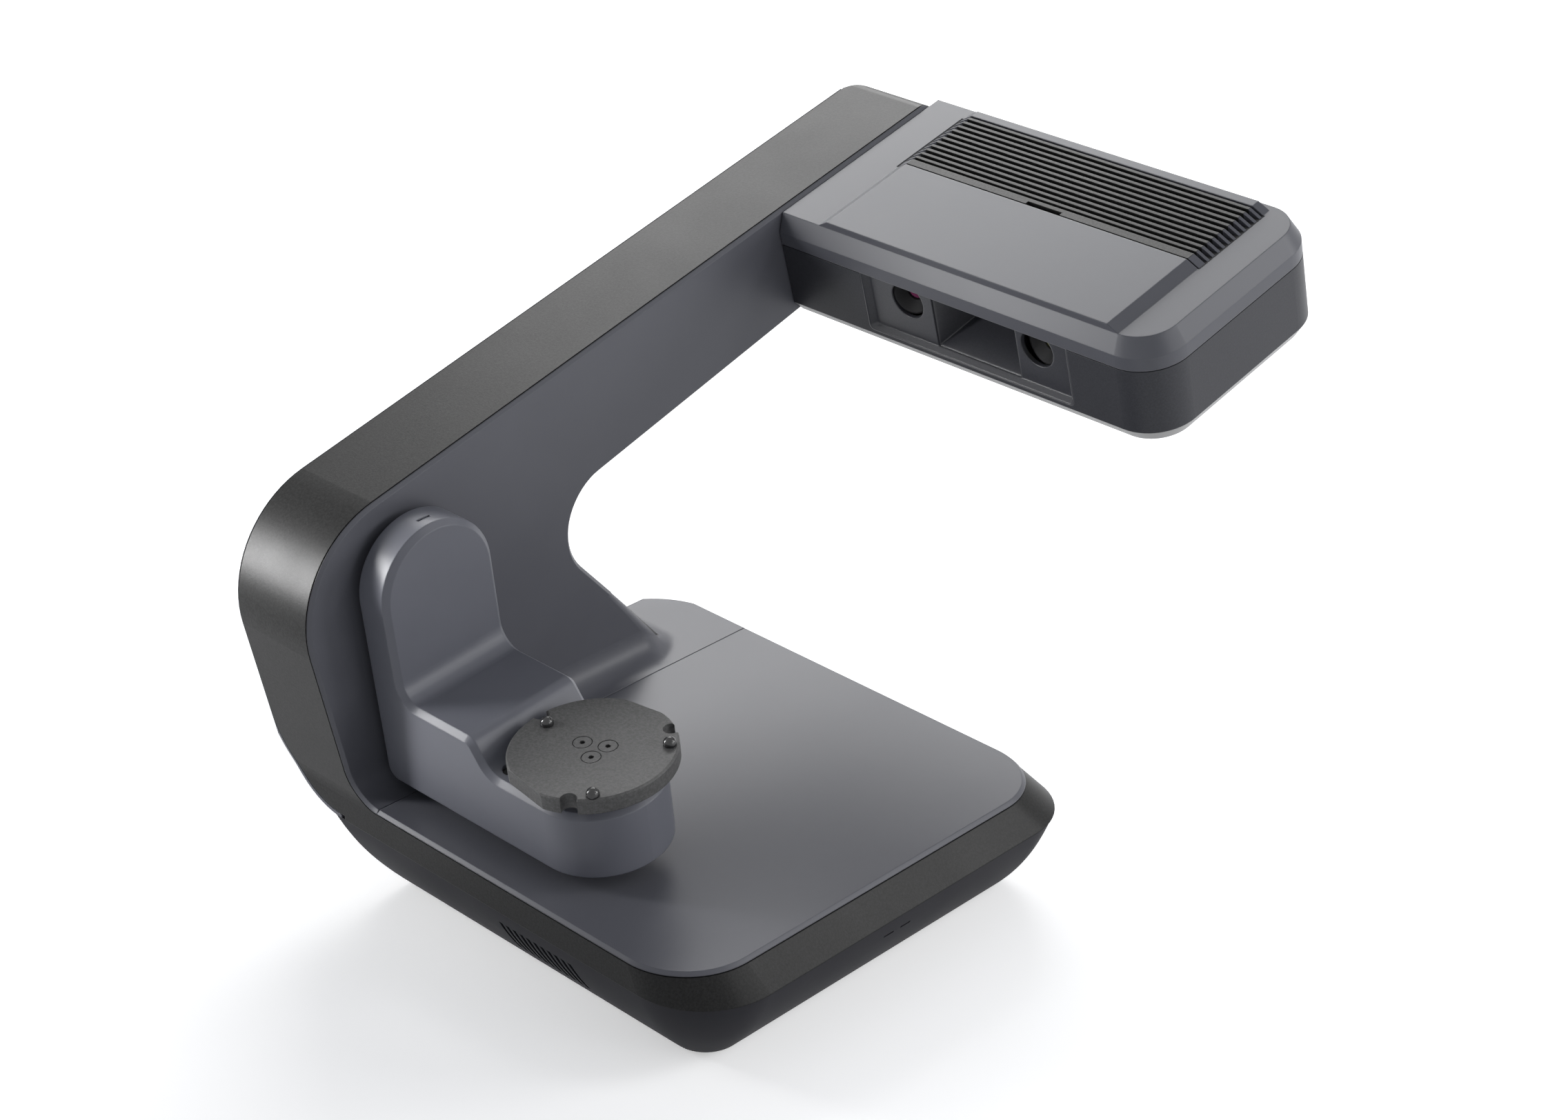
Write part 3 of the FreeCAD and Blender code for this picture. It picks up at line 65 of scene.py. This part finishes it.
def object_point(material):
    """The place on the object, in metres, which every texture here is laid out in."""
    return add(material, "ShaderNodeTexCoord").outputs["Object"]


def noise(material, point, scale, detail=2.0, roughness=0.5):
    """Noise with about scale cells to a metre."""
    node = add(material, "ShaderNodeTexNoise")
    feed(material, node.inputs["Scale"], scale)
    feed(material, node.inputs["Detail"], detail)
    feed(material, node.inputs["Roughness"], roughness)
    feed(material, node.inputs["Vector"], point)
    return node.outputs["Fac"]


def spread(material, value, low, high, from_low=0.3, from_high=0.7):
    """Maps a value, from the range that noise mostly keeps to unless told otherwise, to low and high."""
    node = add(material, "ShaderNodeMapRange")
    feed(material, node.inputs["From Min"], from_low)
    feed(material, node.inputs["From Max"], from_high)
    feed(material, node.inputs["To Min"], low)
    feed(material, node.inputs["To Max"], high)
    feed(material, node.inputs["Value"], value)
    return node.outputs["Result"]


def mixed(material, factor, first, second):
    """The first colour where the factor is 0 and the second where it is 1."""
    node = add(material, "ShaderNodeMix", data_type="RGBA")
    feed(material, node.inputs["Factor"], factor)
    feed(material, node.inputs["A"], first)
    feed(material, node.inputs["B"], second)
    return node.outputs["Result"]


def worked_out(owner, operation, first, second=None):
    """One step of arithmetic on numbers or sockets."""
    node = add(owner, "ShaderNodeMath", operation=operation)
    feed(owner, node.inputs[0], first)
    if second is not None:
        feed(owner, node.inputs[1], second)
    return node.outputs["Value"]


def bump(material, height, strength, distance, rounding=None):
    """A normal tilted by a height, over edges that look rounded where a rounding is given."""
    node = add(material, "ShaderNodeBump")
    feed(material, node.inputs["Strength"], strength)
    feed(material, node.inputs["Distance"], distance)
    feed(material, node.inputs["Height"], height)
    if rounding is not None:
        edges = add(material, "ShaderNodeBevel", samples=6)
        feed(material, edges.inputs["Radius"], rounding)
        feed(material, node.inputs["Normal"], edges.outputs["Normal"])
    return node.outputs["Normal"]


# Finishes
cloud_cells = 28.0
coat_roughness = 0.25
fleck_to_grain = 0.55
fleck_range = (0.35, 0.68)
fleck_share = 0.6


def coated(name, colour, contrast=0.10, roughness=0.45, polish=0.02, grain=2600.0, grain_depth=0.00006,
           grain_strength=0.25, speckle=0.0, rounding=0.0005, metallic=0.0, coat=0.0, specular=0.5):
    """A moulded or painted surface: a fine grain, faint cloudy wear and, where asked, a light speckle."""
    material = new_material(name)
    shader = shader_of(material)
    point = object_point(material)
    cloud = noise(material, point, cloud_cells, detail=4.0)
    cloudy = spread(material, cloud, 0.0, 1.0)
    base = mixed(material, cloudy, rgba(colour, 1.0 - contrast), rgba(colour, 1.0 + contrast))
    if speckle > 0.0:
        fleck = noise(material, point, grain * fleck_to_grain, roughness=0.7)
        mask = spread(material, fleck, 0.0, 1.0, *fleck_range)
        flecked = mixed(material, mask, rgba(colour, 1.0 - speckle), rgba(colour, 1.0 + speckle))
        base = mixed(material, fleck_share, base, flecked)
    feed(material, shader.inputs["Base Color"], base)
    uneven = spread(material, cloud, roughness - polish, roughness + polish)
    feed(material, shader.inputs["Roughness"], uneven)
    feed(material, shader.inputs["Metallic"], metallic)
    feed(material, shader.inputs["Specular IOR Level"], specular)
    feed(material, shader.inputs["Coat Weight"], coat)
    feed(material, shader.inputs["Coat Roughness"], coat_roughness)
    grainy = noise(material, point, grain, detail=1.0)
    feed(material, shader.inputs["Normal"], bump(material, grainy, grain_strength, grain_depth, rounding))
    return material


line_cells = 900.0
tarnish_cells = 60.0
tarnish_shade = 0.88
smoother_by = 0.06
rougher_by = 0.08
line_strength = 0.12
line_depth = 0.00004
metal_rounding = 0.0002


def metal(name, colour, roughness, along=(1.0, 1.0, 1.0)):
    """A bare metal with a little uneven polish and fine lines, drawn out where along is well under one."""
    material = new_material(name)
    shader = shader_of(material)
    point = object_point(material)
    stretch = add(material, "ShaderNodeMapping")
    feed(material, stretch.inputs["Scale"], along)
    feed(material, stretch.inputs["Vector"], point)
    lines = noise(material, stretch.outputs["Vector"], line_cells, detail=3.0)
    tarnish = spread(material, noise(material, point, tarnish_cells, detail=3.0), 0.0, 1.0)
    base = mixed(material, tarnish, rgba(colour, tarnish_shade), rgba(colour))
    feed(material, shader.inputs["Base Color"], base)
    uneven = spread(material, lines, roughness - smoother_by, roughness + rougher_by)
    feed(material, shader.inputs["Roughness"], uneven)
    feed(material, shader.inputs["Metallic"], 1.0)
    feed(material, shader.inputs["Normal"], bump(material, lines, line_strength, line_depth, metal_rounding))
    return material


smear_cells = 300.0
smear_roughness = (0.05, 0.11)
smear_strength = 0.05
smear_depth = 0.00002
lens_coat_roughness = 0.03


def lens_glass(name, inner, outer):
    """A coated lens: dark glass, inner in colour where it faces the eye and outer where it slants away; the
    lighter inner colour is a painted glow, while the darker tint is the glass's own.
    """
    material = new_material(name)
    shader = shader_of(material)
    facing = add(material, "ShaderNodeLayerWeight")
    feed(material, facing.inputs["Blend"], 0.35)
    # Painted glow: the lens is coloured lighter, in its inner colour, where it faces the camera, and darker
    # towards its rim
    base = mixed(material, facing.outputs["Facing"], rgba(inner), rgba(outer))
    smear = noise(material, object_point(material), smear_cells)
    feed(material, shader.inputs["Base Color"], base)
    feed(material, shader.inputs["Roughness"], spread(material, smear, *smear_roughness))
    feed(material, shader.inputs["Coat Weight"], 1.0)
    feed(material, shader.inputs["Coat Roughness"], lens_coat_roughness)
    feed(material, shader.inputs["Normal"], bump(material, smear, smear_strength, smear_depth))
    return material


# What several coated finishes share
painted = dict(contrast=0.03, roughness=0.37, polish=0.008, rounding=0.0007, specular=0.24)
textured = dict(contrast=0.06, roughness=0.38, grain=1500.0, grain_depth=0.0001, grain_strength=0.3,
                speckle=0.6, specular=0.14)
blasted = dict(contrast=0.05, roughness=0.50, grain=1300.0, grain_depth=0.0001, grain_strength=0.5,
               speckle=0.6)
moulded = dict(contrast=0.06, grain=2000.0, grain_strength=0.3, speckle=0.2)

cover_colour = (0.098, 0.100, 0.115)
coated_finishes = {
    "cover_grey": dict(painted, colour=cover_colour),
    "head_cover": dict(painted, colour=(0.084, 0.086, 0.099)),
    "arm_grey": dict(painted, colour=(0.123, 0.127, 0.148), polish=0.01, rounding=0.0009, specular=0.32),
    "band_dark": dict(textured, colour=(0.013, 0.013, 0.013)),
    "slat_grey": dict(textured, colour=(0.024, 0.024, 0.023), rounding=0.0003),
    "disc_black": dict(blasted, colour=(0.049, 0.049, 0.049)),
    "screw_black": dict(blasted, colour=(0.049, 0.049, 0.049), rounding=0.0002),
    "head_dark": dict(moulded, colour=(0.032, 0.033, 0.039), specular=0.25),
    "window_dark": dict(moulded, colour=(0.036, 0.037, 0.044), roughness=0.36, rounding=0.0011),
    "shell_black": dict(colour=(0.012, 0.012, 0.016), contrast=0.05, roughness=0.60, grain=3200.0,
                        grain_strength=0.12, specular=0.12),
    "trim_light": dict(colour=(0.26, 0.26, 0.26), contrast=0.04),
    "inner_black": dict(colour=(0.008, 0.008, 0.009), contrast=0.15, roughness=0.65, specular=0.3),
    "ball_dark": dict(colour=(0.028, 0.028, 0.029), contrast=0.08, roughness=0.17, coat=0.15, metallic=0.25),
    "motor_paint": dict(colour=(0.030, 0.030, 0.033), roughness=0.4, coat=0.2),
    "rubber_black": dict(colour=(0.018, 0.018, 0.018), contrast=0.2, roughness=0.85, grain=900.0,
                         grain_strength=0.4),
    "board_green": dict(colour=(0.012, 0.075, 0.035), contrast=0.2, roughness=0.35, grain=700.0),
    "socket_black": dict(colour=(0.014, 0.014, 0.015), roughness=0.28, coat=0.4),
}
metal_finishes = {
    "screw_steel": dict(colour=(0.52, 0.52, 0.54), roughness=0.26),
    "plate_steel": dict(colour=(0.46, 0.47, 0.49), roughness=0.38, along=(1.0, 0.06, 1.0)),
    "alloy": dict(colour=(0.72, 0.73, 0.74), roughness=0.33, along=(1.0, 1.0, 0.08)),
}
# Inner colours are a painted glow at each lens's middle; outer colours are the glass's own darker tint
lens_finishes = {
    "glass_magenta": dict(inner=(0.20, 0.030, 0.095), outer=(0.06, 0.01, 0.05)),
    "glass_amber": dict(inner=(0.30, 0.29, 0.055), outer=(0.08, 0.08, 0.03)),
    "glass_clear": dict(inner=(0.03, 0.035, 0.05), outer=(0.01, 0.01, 0.02)),
}

finishes = {}
for make, group in ((coated, coated_finishes), (metal, metal_finishes), (lens_glass, lens_finishes)):
    for name, values in group.items():
        finishes[name] = make(name, **values)


def colour_the_ends(material, low, high, colour):
    """Gives a finish another colour beyond two places along X, as on the slats' sloping ends."""
    split = add(material, "ShaderNodeSeparateXYZ")
    feed(material, split.inputs["Vector"], object_point(material))
    from_middle = worked_out(material, "SUBTRACT", split.outputs["X"], (low + high) / 2)
    away = worked_out(material, "ABSOLUTE", from_middle)
    beyond = worked_out(material, "GREATER_THAN", away, (high - low) / 2)
    target = shader_of(material).inputs["Base Color"]
    feed(material, target, mixed(material, beyond, target.links[0].from_socket, rgba(colour)))


slat_slope = 0.0063
grille_low, grille_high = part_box("head_grille")
colour_the_ends(finishes["slat_grey"], grille_low[0] + slat_slope, grille_high[0] - slat_slope, cover_colour)

# Three nodes look a little different from the rest of their slot
slot_of = {row["node"]: row["material_slot"] for row in frame["record"]["subparts"]}
finish_of = dict(slot_of)
finish_of.update(head_top_cover="head_cover", window_frame="window_dark", projector_shroud="window_dark")
for name, node in nodes.items():
    node.data.materials.clear()
    node.data.materials.append(finishes[finish_of[name]])


# Studio: a white floor that glows more with distance, and a white world, so that no horizon shows
def white_seen_directly(owner, plain, white):
    """Shows white to the camera, glossy surfaces and glass, and plain to all other light."""
    path = add(owner, "ShaderNodeLightPath")
    directly = path.outputs["Is Camera Ray"]
    for kind in ("Is Glossy Ray", "Is Transmission Ray"):
        directly = worked_out(owner, "MAXIMUM", directly, path.outputs[kind])
    choice = add(owner, "ShaderNodeMixShader")
    feed(owner, choice.inputs[0], directly)
    feed(owner, choice.inputs[1], plain)
    feed(owner, choice.inputs[2], white)
    return choice.outputs["Shader"]


white_light = (1.0, 1.0, 1.0, 1.0)
floor_half = 6.0
floor_colour = (0.9, 0.9, 0.9)
glow_near = 0.42
glow_far = 0.80
glow_starts = 0.7
glow_ends = 3.0


def white_floor_finish():
    material = new_material("floor_white")
    shader = shader_of(material)
    feed(material, shader.inputs["Base Color"], rgba(floor_colour))
    feed(material, shader.inputs["Roughness"], 0.9)
    distance = add(material, "ShaderNodeVectorMath", operation="LENGTH")
    feed(material, distance.inputs[0], object_point(material))
    glow = add(material, "ShaderNodeEmission")
    feed(material, glow.inputs["Color"], white_light)
    strength = spread(material, distance.outputs["Value"], glow_near, glow_far, glow_starts, glow_ends)
    feed(material, glow.inputs["Strength"], strength)
    lifted = add(material, "ShaderNodeAddShader")
    feed(material, lifted.inputs[0], shader.outputs["BSDF"])
    feed(material, lifted.inputs[1], glow.outputs["Emission"])
    shown = white_seen_directly(material, shader.outputs["BSDF"], lifted.outputs["Shader"])
    feed(material, material.node_tree.nodes["Material Output"].inputs["Surface"], shown)
    return material


def make_floor():
    mesh = bpy.data.meshes.new("floor")
    sides = ((-1, -1), (1, -1), (1, 1), (-1, 1))
    mesh.from_pydata([(x * floor_half, y * floor_half, 0) for x, y in sides], [], [(0, 1, 2, 3)])
    mesh.materials.append(white_floor_finish())
    floor = bpy.data.objects.new("floor", mesh)
    scene.collection.objects.link(floor)
    return floor


def make_world():
    world = bpy.data.worlds.new("studio")
    world.use_nodes = True
    sky = world.node_tree.nodes["Background"]
    feed(world, sky.inputs["Color"], (0.90, 0.93, 1.0, 1.0))
    feed(world, sky.inputs["Strength"], 0.30)
    white = add(world, "ShaderNodeBackground")
    feed(world, white.inputs["Color"], white_light)
    shown = white_seen_directly(world, sky.outputs["Background"], white.outputs["Background"])
    feed(world, world.node_tree.nodes["World Output"].inputs["Surface"], shown)
    return world


floor = make_floor()
scene.world = make_world()


def soft_light(name, place, aim, width, height, power, beam=180.0):
    """A rectangular lamp turned towards aim: its power is in watts and its beam in degrees."""
    data = bpy.data.lights.new(name, "AREA")
    data.shape = "RECTANGLE"
    data.size = width
    data.size_y = height
    data.energy = power
    data.spread = math.radians(beam)
    light = bpy.data.objects.new(name, data)
    scene.collection.objects.link(light)
    light.location = place
    light.rotation_mode = "QUATERNION"
    light.rotation_quaternion = (Vector(aim) - Vector(place)).to_track_quat("-Z", "Y")


base_middle = (0.0, 0.0, 0.1)
base_right = (0.1, 0.0, 0.1)
head_front_left = (-0.12, -0.18, 0.22)
soft_light("back_left", (-1.30, 1.15, 1.30), base_middle, 1.3, 0.9, 28.0)
soft_light("brow_strip", (-0.35, -0.43, 0.27), head_front_left, 0.06, 0.24, 0.42, beam=60.0)
soft_light("right", (1.9, 0.35, 0.7), base_right, 0.9, 0.9, 7.5)
soft_light("left_high", (-1.36, -0.99, 1.33), base_middle, 0.7, 0.7, 2.0)
soft_light("right_high", (1.29, 0.74, 1.54), base_middle, 0.5, 0.5, 4.0)
soft_light("back_right", (1.6, 1.45, 0.95), base_right, 0.8, 0.8, 16.0)

# Camera, solved from the photograph: lens and sensor in millimetres, place in metres, and its own three axes
sensor_width = 36.0
lens_length = 72.69
camera_place = Vector((0.95745, -0.978966, 0.8783))
camera_right = Vector((0.71457, 0.69955, -0.00399))
camera_up = Vector((-0.32740, 0.33946, 0.88180))
camera_back = Vector((0.61822, -0.62880, 0.47160))


def make_camera():
    data = bpy.data.cameras.new("camera")
    data.sensor_fit = "HORIZONTAL"
    data.sensor_width = sensor_width
    data.lens = lens_length
    camera = bpy.data.objects.new("camera", data)
    scene.collection.objects.link(camera)
    turn = Matrix((camera_right, camera_up, camera_back)).transposed()
    camera.matrix_world = Matrix.Translation(camera_place) @ turn.to_4x4()
    return camera


scene.camera = make_camera()
scene.view_settings.view_transform = "Standard"
